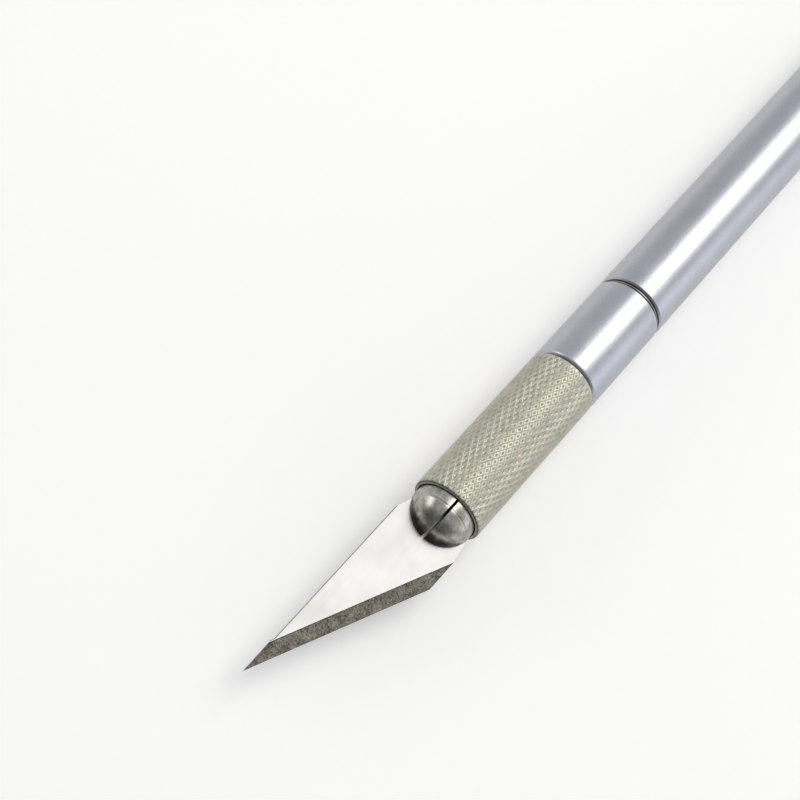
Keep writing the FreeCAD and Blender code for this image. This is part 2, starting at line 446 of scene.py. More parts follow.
def make_collet_steel():
    mat, tree, surface, coords, masks = begin_metal("collet_steel")
    mottle = noise(tree, coords, 1300.0, 5.0, 0.62, "temper mottle")
    fine = noise(tree, coords, 7000.0, 3.0, 0.6, "polish grain")
    tone = remap(tree, mottle, 0.34, 0.66)
    base = mix_colour(tree, tone, (0.35, 0.345, 0.285), (0.66, 0.66, 0.615), "temper colours")
    base = mix_colour(tree, times(tree, masks["Speck"], 0.5), base, (0.10, 0.10, 0.09), "pits")
    # painted shade on the low front of the dome, where it meets the blade
    oil = blade_contact_shade(tree, coords, mottle)
    base = mix_colour(tree, oil, base, (0.060, 0.057, 0.050), "painted shade against the blade")
    rough = weighted(tree, 0.20, (mottle, 0.10), (fine, 0.06), (masks["Scratch"], 0.10))
    relief = weighted(tree, 0.0, (mottle, 0.7), (fine, 0.3), (masks["Scratch"], -0.6))
    end_metal(tree, surface, base, rough, relief, 0.0035 * MM)
    return mat


collet_steel = make_collet_steel()
print(collet_steel.name, "has", len(collet_steel.node_tree.nodes), "nodes")

# %% [markdown]
# ## Blade steel as rolled
# The strip is cold rolled and stays bright, with faint lines along its length. Where the blade
# lies in the slot, a soft mask paints brown shade on its middle just inside the dome, so the slot reads
# dark.
# The lines could be cut in the mesh, but they are far too fine for it: noise stretched along the
# strip gives them as a sheen.

# %% Blade flat material


def slot_shade_mask(tree, coords):
    """Mask of brown painted shade on the blade's middle, seen in the slot between sleeve and dome top."""
    along, across, _ = split_xyz(tree, coords)
    off_middle = math_node(tree, "ABSOLUTE", across)
    middle = remap(tree, off_middle, 0.25 * MM, 0.6 * MM, 1.0, 0.0, "under the slot")
    near = remap(tree, along, FACE + 4.3 * MM, FACE + 5.0 * MM, 1.0, 0.0, "inside the collet")
    start = remap(tree, along, FACE + 1.6 * MM, FACE + 2.8 * MM, 0.0, 0.85, "fades further in")
    return times(tree, times(tree, middle, near), start)


def make_blade_flat():
    mat, tree, surface, coords, masks = begin_metal("blade_flat")
    rolled = noise(tree, stretched(tree, coords, (220.0, 9000.0, 9000.0)), 1.0, 3.0, 0.6, "rolling lines")
    cloud = noise(tree, coords, 300.0, 3.0, 0.5, "faint clouds")
    base = mix_colour(tree, remap(tree, cloud, 0.3, 0.7), (0.440, 0.434, 0.440), (0.466, 0.462, 0.468))
    # painted shade: the blade's middle seen through the slot is darkened and browned
    base = mix_colour(tree, slot_shade_mask(tree, coords), base, (0.20, 0.125, 0.07), "brown painted shade in the slot")
    rough = weighted(tree, 0.26, (rolled, 0.10), (cloud, 0.06), (masks["Smudge"], 0.06))
    relief = weighted(tree, 0.0, (rolled, 0.8), (masks["Scratch"], -0.8))
    end_metal(tree, surface, base, rough, relief, 0.0008 * MM)
    return mat


blade_flat = make_blade_flat()
print(blade_flat.name, "has", len(blade_flat.node_tree.nodes), "nodes")

# %% [markdown]
# ## Blade steel as ground
# The bevels are ground after the strip is cut, across the edge, which leaves short scratches
# square to it and a darker, mottled look, because a ground face scatters what the rolled face
# mirrors. The wheel also pushes up a fine burr along the bevel's inner border. An image could
# hold both, but noise turned to the edge's angle stays sharp from close up. Both follow the
# edge, so the edge's line is worked out first.

# %% The edge's line
BLADE_HALF = 4.72 * MM
POINT_X = FACE + 31.9 * MM
BELLY_X = FACE + 8.9 * MM
POINT_DROP = 0.10 * MM
BEVEL_W = 1.76 * MM
POINT = Vector((POINT_X, -BLADE_HALF - POINT_DROP, 0))
EDGE = Vector((BELLY_X - POINT_X, 2 * BLADE_HALF + POINT_DROP, 0))
EDGE_ANGLE = math.atan2(EDGE.y, EDGE.x)
RUN = EDGE.normalized()
INWARD = Vector((-RUN.y, RUN.x, 0))
print("the edge is", round(EDGE.length / MM, 2), "mm long")

# %% Blade bevel material


def make_blade_bevel():
    mat, tree, surface, coords, masks = begin_metal("blade_bevel")
    square_on = stretched(tree, coords, (1.0, 1.0, 1.0), (0.0, 0.0, -EDGE_ANGLE))
    across = stretched(tree, square_on, (16000.0, 900.0, 900.0))
    lines = noise(tree, across, 1.0, 3.0, 0.65, "grinding lines")
    mottle = noise(tree, coords, 3600.0, 6.0, 0.75, "grinding mottle")
    patch = noise(tree, coords, 700.0, 2.0, 0.5, "uneven wheel")
    tone = remap(tree, weighted(tree, 0.0, (mottle, 0.7), (lines, 0.2), (patch, 0.25)), 0.47, 0.72)
    base = mix_colour(tree, tone, (0.036, 0.034, 0.029), (0.26, 0.245, 0.212), "ground tone")
    glints = times(tree, masks["Speck"], 0.8)
    base = mix_colour(tree, glints, base, (0.55, 0.52, 0.45), "bright specks")
    depth = add(tree, "ShaderNodeVectorMath", "distance from the edge", operation="DOT_PRODUCT")
    tree.links.new(coords, depth.inputs[0])
    depth.inputs[1].default_value = INWARD
    border = INWARD.dot(POINT) + BEVEL_W
    burr = remap(tree, depth.outputs["Value"], border - 0.13 * MM, border - 0.05 * MM, 0.0, 0.75, "burr")
    base = mix_colour(tree, burr, base, (0.022, 0.021, 0.018), "dark burr line")
    rough = weighted(tree, 0.20, (lines, 0.14), (mottle, 0.14))
    relief = weighted(tree, 0.0, (lines, 0.7), (mottle, 0.5))
    end_metal(tree, surface, base, rough, relief, 0.003 * MM)
    return mat


blade_bevel = make_blade_bevel()
print(blade_bevel.name, "has", len(blade_bevel.node_tree.nodes), "nodes")

# %% [markdown]
# ## Plain turned steel
# The spacer ring is cut from bar on a lathe and left as it came off the tool: fine rings run
# around it, and they stretch each highlight across the grain. It sits deep in the seam, and its
# colour is a dark, warm grey: painted shade for the groove it stands in. The rings are made as on
# the aluminium, only deeper in tone, because both were turned.

# %% Plain steel material


def make_spacer_steel():
    mat, tree, surface, coords, masks = begin_metal("spacer_steel")
    rings = noise(tree, stretched(tree, coords, (14000.0, 60.0, 60.0)), 1.0, 3.0, 0.6, "tool rings")
    # painted shade: the base is kept a dark, warm grey for the deep seam
    base = mix_colour(tree, rings, (0.20, 0.195, 0.165), (0.34, 0.33, 0.28))
    base = mix_colour(tree, times(tree, masks["Smudge"], 0.2), base, (0.36, 0.35, 0.33), "oil film")
    rough = weighted(tree, 0.18, (rings, 0.18), (masks["Smudge"], 0.08))
    end_metal(tree, surface, base, rough, rings, 0.002 * MM)
    return mat


spacer_steel = make_spacer_steel()
print(spacer_steel.name, "has", len(spacer_steel.node_tree.nodes), "nodes")

# %% [markdown]
# ## Barrel and end plug
# The barrel is a plain tube, and the plug is a turned cap with a spigot that fills its back
# end. Both have their edges broken, so the joint between them reads as one fine line. Cylinders
# with bevels would do for the outside, but one profile gives chamfer, bore and spigot at once.

# %% Barrel and end plug
SPIGOT_R = 3.60 * MM
CHAMFER = 0.20 * MM
FILE_R = 0.06 * MM
BORE_R = SPIGOT_R + 0.02 * MM
PLUG_R = SPIGOT_R - 0.01 * MM
PLUG_FRONT = BARREL_BACK + 6.0 * MM
PLUG_ROUND = 1.6 * MM
PLUG_SLANT = 0.47 * MM

barrel_profile = rounded([
    (BARREL_BACK, BORE_R), (BARREL_BACK, HANDLE_R - CHAMFER), (BARREL_BACK + CHAMFER, HANDLE_R),
    (BARREL_FRONT - CHAMFER, HANDLE_R), (BARREL_FRONT, HANDLE_R - CHAMFER), (BARREL_FRONT, BORE_R)],
    FILE_R)
barrel = lathe("barrel_skin", barrel_profile, satin)

plug_profile = rounded([
    (TAIL, 0.0), (TAIL, HANDLE_R - PLUG_ROUND), (TAIL + PLUG_SLANT, HANDLE_R - PLUG_SLANT),
    (TAIL + PLUG_ROUND, HANDLE_R), (BARREL_BACK - CHAMFER, HANDLE_R), (BARREL_BACK, HANDLE_R - CHAMFER),
    (BARREL_BACK, PLUG_R), (PLUG_FRONT, PLUG_R), (PLUG_FRONT, 0.0)],
    0.5 * MM, 6)
plug = lathe("end_plug_skin", plug_profile, satin)
print("barrel faces", len(barrel.data.polygons), "plug faces", len(plug.data.polygons))

# %% [markdown]
# ## The front band
# The band is the front end of the handle. Its front edge curls over in a rounded lip that meets
# the knurled sleeve in a V groove, and its long inner spigots, which carry the barrel and the
# turning sleeve, make it one solid turned piece with a groove for the retaining ring. A bevel
# could round the lip, but an arc that stops short of a quarter turn leaves the slant of the V.

# %% Front band
LIP_W = 0.57 * MM
LIP_SWEEP = math.radians(68)
LIP_STEPS = 8
SHANK_ROOM_R = 2.50 * MM
CLIP_R = 3.25 * MM
CLIP_BACK = BAND_FRONT + 2.6 * MM
CLIP_FRONT = BAND_FRONT + 3.2 * MM
SPIGOT_FRONT = BAND_FRONT + 5.4 * MM
SPIGOT_BACK = BARREL_FRONT - 8.0 * MM

lip = []
for k in range(LIP_STEPS + 1):
    a = LIP_SWEEP * k / LIP_STEPS
    lip.append((BAND_FRONT + LIP_W * (math.sin(a) / math.sin(LIP_SWEEP) - 1),
                HANDLE_R - LIP_W * (1 - math.cos(a)) / (1 - math.cos(LIP_SWEEP))))
band_profile = rounded([
    (BAND_BACK, SPIGOT_R), (BAND_BACK, HANDLE_R - CHAMFER), (BAND_BACK + CHAMFER, HANDLE_R), *lip,
    (BAND_FRONT, SPIGOT_R), (CLIP_BACK, SPIGOT_R), (CLIP_BACK, CLIP_R), (CLIP_FRONT, CLIP_R),
    (CLIP_FRONT, SPIGOT_R), (SPIGOT_FRONT, SPIGOT_R), (SPIGOT_FRONT, SHANK_ROOM_R),
    (SPIGOT_BACK, SHANK_ROOM_R), (SPIGOT_BACK, SPIGOT_R)],
    FILE_R)
band = lathe("front_band_skin", band_profile, satin)
print("band faces", len(band.data.polygons))

# %% [markdown]
# ## The seam and its ring
# The seam is the part to get right: the tube and the band each have a broken edge, and between
# them stands a thin steel ring a little below the skin, with a deep groove on either side. It
# reads as a dark line with one narrow, dull strip of metal in it. A dark stripe in the material
# would look flat from the side, so the ring and the floor of its groove are turned for real.

# %% Seam ring
RING_R = 4.46 * MM
GROOVE_R = 4.05 * MM
RING_BORE_R = SPIGOT_R + 0.03 * MM
RING_BACK = BARREL_FRONT + 0.09 * MM
RING_FRONT = BAND_BACK - 0.20 * MM

ring_profile = rounded([
    (BARREL_FRONT, RING_BORE_R), (BARREL_FRONT, GROOVE_R), (RING_BACK, GROOVE_R), (RING_BACK, RING_R),
    (RING_FRONT, RING_R), (RING_FRONT, GROOVE_R), (BAND_BACK, GROOVE_R), (BAND_BACK, RING_BORE_R)],
    0.10 * MM)
ring = lathe("seam_ring_skin", ring_profile, spacer_steel)
print("seam ring", round((RING_FRONT - RING_BACK) / MM, 2), "mm wide")

# %% [markdown]
# ## The knurl as a tree of nodes
# A knurl is rolled: two hardened wheels with slanted teeth press their pattern into the turning
# sleeve. Metal flows up between the teeth, so two families of fine ridges cross, with a small
# pit in each diamond between them. All the diamonds are alike, so Geometry Nodes model one
# flat, repeat it over an unrolled sheet, and bend the sheet round the axis. The tree starts
# with the sizes that a toolmaker would give.

# %% Inputs of the knurl tree


def new_knurl_tree():
    """Tree with the knurl's sizes as named inputs; gives the tree and its input sockets."""
    tree = bpy.data.node_groups.new("diamond_knurl", "GeometryNodeTree")
    kinds = {"Geometry": "NodeSocketGeometry", "Diamonds Around": "NodeSocketInt",
             "Material": "NodeSocketMaterial"}
    for label in ("Geometry", "Start", "End", "Crest Radius", "Depth", "Blank Radius", "Axial Pitch",
                  "Run Out", "Nose Round", "Diamonds Around", "Seed", "Material"):
        kind = kinds.get(label, "NodeSocketFloat")
        tree.interface.new_socket(label, in_out="INPUT", socket_type=kind)
    tree.interface.new_socket("Geometry", in_out="OUTPUT", socket_type="NodeSocketGeometry")
    return tree, tree.nodes.new("NodeGroupInput").outputs


def chained(tree, kind, geometry, **values):
    """Node of the kind fed with the geometry; gives the geometry that comes out."""
    node = add(tree, kind, **values)
    tree.links.new(geometry, node.inputs[0])
    return node.outputs[0]


def placed(tree, geometry, *position):
    """The geometry with its points moved to the position."""
    node = tree.nodes.new("GeometryNodeSetPosition")
    tree.links.new(geometry, node.inputs["Geometry"])
    tree.links.new(join_xyz(tree, *position), node.inputs["Position"])
    return node.outputs["Geometry"]


def point_xyz(tree):
    return split_xyz(tree, tree.nodes.new("GeometryNodeInputPosition").outputs[0])


knurl_tree, sizes = new_knurl_tree()
print("knurl inputs:", [socket.name for socket in sizes if socket.name])

# %% [markdown]
# ## One diamond
# The diamond is a small square grid, sheared into a rhombus. It is repeated more than a
# thousand times, so it has only three dozen faces, and its grid lines are drawn out to where
# the surface folds: the foot of the ridge at its rim, and the rim of the pit in its middle.

# %% Flat diamond
CELL_POINTS = 7
RIDGE_FOOT = 0.125
PIT_RIM = 0.25
RIDGE_DROP = 0.40
PIT_DROP = 0.60


def drawn_out(tree, value):
    """Grid lines at thirds drawn out to halves and three quarters, where the cell folds."""
    size = math_node(tree, "ABSOLUTE", value)
    inner = times(tree, size, 1.5)
    outer = weighted(tree, 0.125, (size, 0.75))
    return times(tree, math_node(tree, "SIGN", value), math_node(tree, "MINIMUM", inner, outer))


def flat_diamond(tree, half_long, half_wide, depth):
    """One flat diamond with ridges at its rim and a pit in its middle."""
    cell = add(tree, "GeometryNodeMeshGrid", "cell", in_Size_X=1.0, in_Size_Y=1.0,
               in_Vertices_X=CELL_POINTS, in_Vertices_Y=CELL_POINTS)
    u, v, _ = point_xyz(tree)
    u, v = drawn_out(tree, u), drawn_out(tree, v)
    rim = math_node(tree, "MAXIMUM", math_node(tree, "ABSOLUTE", u), math_node(tree, "ABSOLUTE", v))
    inward = minus(tree, 0.5, rim)
    pit_width = 0.5 - PIT_RIM
    flank = math_node(tree, "MULTIPLY", inward, 1 / RIDGE_FOOT, clamp=True)
    pit = math_node(tree, "MULTIPLY_ADD", inward, 1 / pit_width, -PIT_RIM / pit_width, clamp=True)
    height = weighted(tree, 1.0, (pit, -PIT_DROP), (flank, -RIDGE_DROP))
    along = times(tree, plus(tree, u, v), half_long)
    across = times(tree, minus(tree, u, v), half_wide)
    return placed(tree, cell.outputs["Mesh"], along, across, times(tree, height, depth))


half_long = times(knurl_tree, sizes["Axial Pitch"], 0.5)
wide = over(knurl_tree, times(knurl_tree, sizes["Crest Radius"], 2 * math.pi), sizes["Diamonds Around"])
half_wide = times(knurl_tree, wide, 0.5)
diamond = flat_diamond(knurl_tree, half_long, half_wide, sizes["Depth"])
print("one diamond has", (CELL_POINTS - 1) ** 2, "faces")

# %% [markdown]
# ## The unrolled sheet
# Unrolled, the knurl is a brick pattern: rows half a pitch apart, each second row shifted by
# half a diamond. A grid gives one point for each place, and its running index tells the row and
# the column, so the places need no list. Instances put the same diamond on every point.

# %% Sheet of diamonds


def diamond_sheet(tree, diamond, half_long, wide, half_wide):
    """Diamonds in staggered rows over the flat sheet, made real."""
    around = sizes["Diamonds Around"]
    length = minus(tree, sizes["End"], sizes["Start"])
    rows = plus(tree, math_node(tree, "CEIL", over(tree, length, half_long)), 2.0)
    places = tree.nodes.new("GeometryNodeMeshGrid")
    tree.links.new(rows, places.inputs["Vertices X"])
    tree.links.new(around, places.inputs["Vertices Y"])
    index = tree.nodes.new("GeometryNodeInputIndex").outputs[0]
    row = math_node(tree, "FLOOR", over(tree, plus(tree, index, 0.5), around))
    column = minus(tree, index, times(tree, row, around))
    shift = times(tree, math_node(tree, "MODULO", row, 2.0), half_wide)
    along = math_node(tree, "MULTIPLY_ADD", row, half_long, sizes["Start"])
    across = math_node(tree, "MULTIPLY_ADD", column, wide, shift)
    scatter = tree.nodes.new("GeometryNodeInstanceOnPoints")
    tree.links.new(placed(tree, places.outputs["Mesh"], along, across, 0.0), scatter.inputs["Points"])
    tree.links.new(diamond, scatter.inputs["Instance"])
    return chained(tree, "GeometryNodeRealizeInstances", scatter.outputs[0])


sheet = diamond_sheet(knurl_tree, diamond, half_long, wide, half_wide)
print("knurl tree so far:", len(knurl_tree.nodes), "nodes")

# %% [markdown]
# ## Wear, run-out and the nose
# Three things change the relief along the sleeve. The crests are worn unevenly, so a noise with
# a fixed seed takes a little off them. The wheels lift off at both ends, where the relief fades
# into the plain blank. And the nose is rounded over, so the last stretch follows an arc inwards.

# %% Radius of the knurl
WEAR_SCALE = 900.0
WEAR_MIDDLE = 0.62
WEAR_SHARE = 0.28


def worn_height(tree, height, on_crest):
    """The height with up to a part of it worn off, unevenly over the crests."""
    wear = add(tree, "ShaderNodeTexNoise", "wear", noise_dimensions="4D", in_Scale=WEAR_SCALE,
               in_Detail=1.0)
    tree.links.new(on_crest, wear.inputs["Vector"])
    tree.links.new(sizes["Seed"], wear.inputs["W"])
    worn = times(tree, minus(tree, wear.outputs["Fac"], WEAR_MIDDLE), WEAR_SHARE)
    worn = times(tree, worn, over(tree, height, sizes["Depth"]))
    return math_node(tree, "MULTIPLY_ADD", worn, sizes["Depth"], height)


def run_out(tree, x):
    """1 along the knurl, falling to 0 at either end."""
    edge = math_node(tree, "MINIMUM", minus(tree, x, sizes["Start"]), minus(tree, sizes["End"], x))
    return over(tree, edge, sizes["Run Out"], clamp=True)


def nose_sag(tree, x):
    """How far the rounded nose has dropped below the sleeve at x."""
    back = minus(tree, sizes["End"], sizes["Nose Round"])
    share = over(tree, minus(tree, x, back), sizes["Nose Round"], clamp=True)
    left = math_node(tree, "SQRT", minus(tree, 1.0, times(tree, share, share)))
    return times(tree, minus(tree, 1.0, left), sizes["Nose Round"])


def knurl_radius(tree, x, height, on_crest):
    root = minus(tree, sizes["Crest Radius"], sizes["Depth"])
    full = plus(tree, root, worn_height(tree, height, on_crest))
    relief = minus(tree, full, sizes["Blank Radius"])
    radius = math_node(tree, "MULTIPLY_ADD", relief, run_out(tree, x), sizes["Blank Radius"])
    radius = math_node(tree, "MINIMUM", radius, sizes["Crest Radius"])
    return minus(tree, radius, nose_sag(tree, x))


print("wear takes up to", WEAR_SHARE * WEAR_MIDDLE, "of the relief")

# %% [markdown]
# ## Bending the sheet round the axis
# A point of the sheet has three measures: how far along, how far across, and how high. Across
# divided by the radius is an angle, and the height gives the radius, so the bend is a change
# from flat to round coordinates. The seams are then welded, and the tree ends in real, painted
# geometry, because an exporter drops instances.

# %% Round knurl


def around_axis(tree, x, angle, radius):
    y = times(tree, math_node(tree, "COSINE", angle), radius)
    z = times(tree, math_node(tree, "SINE", angle), radius)
    return x, y, z


def bend_round(tree, sheet):
    """The sheet bent round the X axis, welded, made real and painted."""
    x, across, height = point_xyz(tree)
    x = math_node(tree, "MINIMUM", math_node(tree, "MAXIMUM", x, sizes["Start"]), sizes["End"])
    angle = over(tree, across, sizes["Crest Radius"])
    on_crest = join_xyz(tree, *around_axis(tree, x, angle, sizes["Crest Radius"]))
    radius = knurl_radius(tree, x, height, on_crest)
    bent = placed(tree, sheet, *around_axis(tree, x, angle, radius))
    welded = chained(tree, "GeometryNodeMergeByDistance", bent, in_Distance=0.002 * MM)
    whole = chained(tree, "GeometryNodeRealizeInstances", welded)
    paint = tree.nodes.new("GeometryNodeSetMaterial")
    tree.links.new(whole, paint.inputs["Geometry"])
    tree.links.new(sizes["Material"], paint.inputs["Material"])
    end = tree.nodes.new("NodeGroupOutput")
    tree.links.new(paint.outputs[0], end.inputs["Geometry"])


bend_round(knurl_tree, sheet)
print("knurl tree:", len(knurl_tree.nodes), "nodes,", len(knurl_tree.links), "links")

# %% [markdown]
# ## Growing the knurl
# The tree runs on a holder with one vertex. Its inputs are set by each socket's identifier, the
# result is copied into a plain mesh, and the holder goes: what stays is an ordinary mesh object.

# %% Knurl skin
KNURL_START = SLEEVE_BACK + 0.10 * MM
KNURL_END = FACE - 0.005 * MM
BLANK_R = HANDLE_R - 0.075 * MM


def grown(name, tree, **values):
    """Plain mesh object grown by a geometry node tree from named values."""
    seed_mesh = bpy.data.meshes.new(name + "_seed")
    seed_mesh.from_pydata([(0, 0, 0)], [], [])
    holder = bpy.data.objects.new(name + "_holder", seed_mesh)
    bpy.context.scene.collection.objects.link(holder)
    modifier = holder.modifiers.new("grow", "NODES")
    modifier.node_group = tree
    for item in tree.interface.items_tree:
        if item.item_type == "SOCKET" and item.in_out == "INPUT" and item.name in values:
            modifier[item.identifier] = values[item.name]
    evaluated = holder.evaluated_get(bpy.context.evaluated_depsgraph_get())
    mesh = bpy.data.meshes.new_from_object(evaluated)
    mesh.name = name
    bpy.data.objects.remove(holder)
    obj = bpy.data.objects.new(name, mesh)
    bpy.context.scene.collection.objects.link(obj)
    return obj


knurl = grown("knurl_skin", knurl_tree, **{
    "Start": KNURL_START, "End": KNURL_END, "Crest Radius": HANDLE_R, "Depth": 0.17 * MM,
    "Blank Radius": BLANK_R, "Axial Pitch": 1.582 * MM, "Run Out": 0.06 * MM,
    "Nose Round": 0.34 * MM, "Diamonds Around": 37, "Seed": 3.0, "Material": knurl_metal})
print("knurl:", len(knurl.data.vertices), "points,", len(knurl.data.polygons), "faces")

# %% [markdown]
# ## The sleeve under the knurl
# The rest of the sleeve is turned: the rounded mouth with its lead-in, the cone that squeezes
# the jaws, room for their arms and for the shank, and the bore that runs on the band's spigot.
# The knurl could be cut into this mesh, but it is simpler as a skin, so the core's outside is
# turned a little smaller than the knurl's pits and never shows through.

# %% Sleeve core
UNDER_R = HANDLE_R - 0.26 * MM
SLEEVE_BORE_R = 3.65 * MM
ARM_ROOM_R = 3.05 * MM
SEAT_R = 4.18 * MM
SEAT_END_R = 3.02 * MM
LEAD_IN = 0.25 * MM
SEAT_END = FACE - LEAD_IN - 6.0 * MM
ARM_ROOM_BACK = FACE - 14.65 * MM
NUT_BACK = FACE - 18.65 * MM

sleeve_profile = [
    (SLEEVE_BACK, SLEEVE_BORE_R), (SLEEVE_BACK, BLANK_R - 0.12 * MM), (KNURL_START, BLANK_R),
    (KNURL_START + 0.02 * MM, BLANK_R), (KNURL_START + 0.04 * MM, UNDER_R),
    (FACE - 0.30 * MM, UNDER_R), (FACE - 0.01 * MM, 4.33 * MM), (FACE - 0.03 * MM, 4.28 * MM),
    (FACE - LEAD_IN, SEAT_R), (SEAT_END, SEAT_END_R), (SEAT_END, ARM_ROOM_R),
    (ARM_ROOM_BACK, ARM_ROOM_R), (ARM_ROOM_BACK, SHANK_ROOM_R), (NUT_BACK, SHANK_ROOM_R),
    (NUT_BACK, SLEEVE_BORE_R)]
sleeve_core = lathe("sleeve_core", sleeve_profile, knurl_metal)
print("sleeve core", len(sleeve_core.data.polygons), "faces")

# %% [markdown]
# ## One piece of sleeve
# The knurl is still a tube of skin with open rims. Each rim is turned inwards, below the core's
# surface, so no gap can show, and the skin is joined to the core, because on the real knife
# they are the same piece of metal.

# %% Closing and joining


def close_ends(obj, inner_radius, step):
    """Turn the open rims of a tube inwards: to the radius, or by one step if already there."""
    bm = bmesh.new()
    bm.from_mesh(obj.data)
    rims = [e for e in bm.edges if e.is_boundary]
    made = bmesh.ops.extrude_edge_only(bm, edges=rims)["geom"]
    for vert in made:
        if not isinstance(vert, bmesh.types.BMVert):
            continue
        reach = math.hypot(vert.co.y, vert.co.z)
        target = inner_radius if reach > inner_radius + step else reach - step
        vert.co.y *= target / reach
        vert.co.z *= target / reach
    bmesh.ops.dissolve_degenerate(bm, dist=1e-8, edges=bm.edges)
    bmesh.ops.recalc_face_normals(bm, faces=bm.faces)
    for face in bm.faces:
        middle = face.calc_center_median()
        if face.normal.dot(Vector((0, middle.y, middle.z))) < -1e-9 and abs(face.normal.x) < 0.5:
            face.normal_flip()
        face.smooth = False
    bm.to_mesh(obj.data)
    bm.free()


def joined(name, *objs):
    """One object from several, the first keeps its materials first."""
    with bpy.context.temp_override(active_object=objs[0], selected_editable_objects=list(objs)):
        bpy.ops.object.join()
    objs[0].name = name
    objs[0].data.name = name
    return objs[0]


close_ends(knurl, UNDER_R - 0.02 * MM, 0.02 * MM)
sleeve = joined("sleeve_skin", sleeve_core, knurl)
print("sleeve:", sum(len(p.vertices) - 2 for p in sleeve.data.polygons), "triangles")

# %% [markdown]
# ## The head of the collet
# The jaws start life as one turned head on a slim stem: arms that can spring, a cone that fits
# the sleeve's seat, a short land and a dome. The cone's slope is taken from the seat, so head
# and sleeve touch all along it, as ground parts do.

# %% Head profile
DOME_R = 4.19 * MM
DOME_BACK = FACE + 1.35 * MM
DOME_TIP = FACE + 4.80 * MM
DOME_CENTRE = DOME_TIP - DOME_R
DOME_STEPS = 28
LAND_R = 4.15 * MM
SEAT_SLOPE = (SEAT_R - SEAT_END_R) / (FACE - LEAD_IN - SEAT_END)
CONE_FACE_R = SEAT_R - 0.03 * MM + SEAT_SLOPE * LEAD_IN
LAND_BACK = FACE - (CONE_FACE_R - LAND_R) / SEAT_SLOPE
ARM_R = 2.20 * MM
ARM_ROOT = FACE - 14.0 * MM
ARM_FRONT = FACE - 6.2 * MM
CONE_LEN = 5.6 * MM


def head_profile():
    """Profile of the whole head with its arms, closed on the axis."""
    points = [
        (ARM_ROOT, 0.0), (ARM_ROOT, ARM_R), (ARM_FRONT, ARM_R),
        (FACE - CONE_LEN, CONE_FACE_R - SEAT_SLOPE * CONE_LEN), (LAND_BACK, LAND_R),
        (DOME_BACK - 0.03 * MM, LAND_R)]
    skirt = math.acos((DOME_BACK - DOME_CENTRE) / DOME_R)
    points.append((DOME_BACK + 0.02 * MM, DOME_R * math.sin(skirt) - 0.035 * MM))
    for k in range(DOME_STEPS):
        a = skirt * 0.985 * (1 - k / DOME_STEPS)
        points.append((DOME_CENTRE + DOME_R * math.cos(a), DOME_R * math.sin(a)))
    points.append((DOME_TIP, 0.0))
    return points


print("head profile:", len(head_profile()), "points")

# %% [markdown]
# ## Sawing and breaking edges
# Cutting a mesh by a plane works like a saw: everything behind the plane goes and the cut is
# capped. Sawn edges are then broken a little, because a sharp one would mark the blade, and
# the same two tools grind the blade's bevels later.

# %% Saw and file


def keep_beyond(bm, point, normal):
    """Cut away everything behind the plane and cap the cut."""
    everything = bm.verts[:] + bm.edges[:] + bm.faces[:]
    cut = bmesh.ops.bisect_plane(bm, geom=everything, plane_co=point, plane_no=normal, clear_inner=True)
    rim = [e for e in cut["geom_cut"] if isinstance(e, bmesh.types.BMEdge)]
    bmesh.ops.holes_fill(bm, edges=rim)


def break_edges(bm, limit, width, segments=2, box=None):
    """Small round on every edge sharper than the limit, or only on those in the box."""
    sharp = []
    for edge in bm.edges:
        if len(edge.link_faces) != 2 or edge.calc_face_angle(0) < math.radians(limit):
            continue
        middle = (edge.verts[0].co + edge.verts[1].co) / 2
        if box and not all(box[0][i] <= middle[i] <= box[1][i] for i in range(3)):
            continue
        sharp.append(edge)
    bmesh.ops.bevel(bm, geom=sharp, offset=width, segments=segments, profile=0.5, affect="EDGES",
                    clamp_overlap=True)


def finish_mesh(obj, smooth_angle):
    """Clean, outward, smooth except across sharp edges."""
    bm = bmesh.new()
    bm.from_mesh(obj.data)
    bmesh.ops.dissolve_degenerate(bm, dist=1e-8, edges=bm.edges)
    bmesh.ops.triangulate(bm, faces=[f for f in bm.faces if len(f.verts) > 4])
    bmesh.ops.recalc_face_normals(bm, faces=bm.faces)
    for face in bm.faces:
        face.smooth = True
    for edge in bm.edges:
        edge.smooth = len(edge.link_faces) == 2 and edge.calc_face_angle(0) < math.radians(smooth_angle)
    bm.to_mesh(obj.data)
    bm.free()


print("tools ready: keep_beyond, break_edges, finish_mesh")

# %% [markdown]
# ## The four jaws
# The toolmaker saws the turned head twice, at right angles: one cut is as wide as the blade,
# the other as thin as the saw. The same order is used here, so each jaw is the whole head cut
# down to its own quarter. A Boolean would cut it too, but a plane cut leaves cleaner edges.

# %% Jaws
BLADE_T = 0.60 * MM
BLADE_SLOT = BLADE_T / 2 + 0.02 * MM
CROSS_SLOT = 0.18 * MM
JAW_STEPS = 128


def make_jaw(number, side_y, side_z):
    jaw = lathe("jaw_skin_" + str(number), head_profile(), collet_steel, JAW_STEPS)
    bm = bmesh.new()
    bm.from_mesh(jaw.data)
    keep_beyond(bm, (0, side_y * CROSS_SLOT, 0), (0, side_y, 0))
    keep_beyond(bm, (0, 0, side_z * BLADE_SLOT), (0, 0, side_z))
    break_edges(bm, 50, 0.045 * MM)
    bm.to_mesh(jaw.data)
    bm.free()
    finish_mesh(jaw, 35)
    return jaw


jaws = []
for number, (side_y, side_z) in enumerate([(1, 1), (-1, 1), (-1, -1), (1, -1)], start=1):
    jaws.append(make_jaw(number, side_y, side_z))
print("one jaw:", len(jaws[0].data.polygons), "faces")

# %% [markdown]
# ## The blade's blank
# The blade is stamped from rolled strip. Its body is as wide as the handle, a narrow tang with
# a long slot reaches back between the jaws, and the spine has a small step near the point. A
# flat outline with a hole, filled and raised to the strip's thickness, is all it takes.

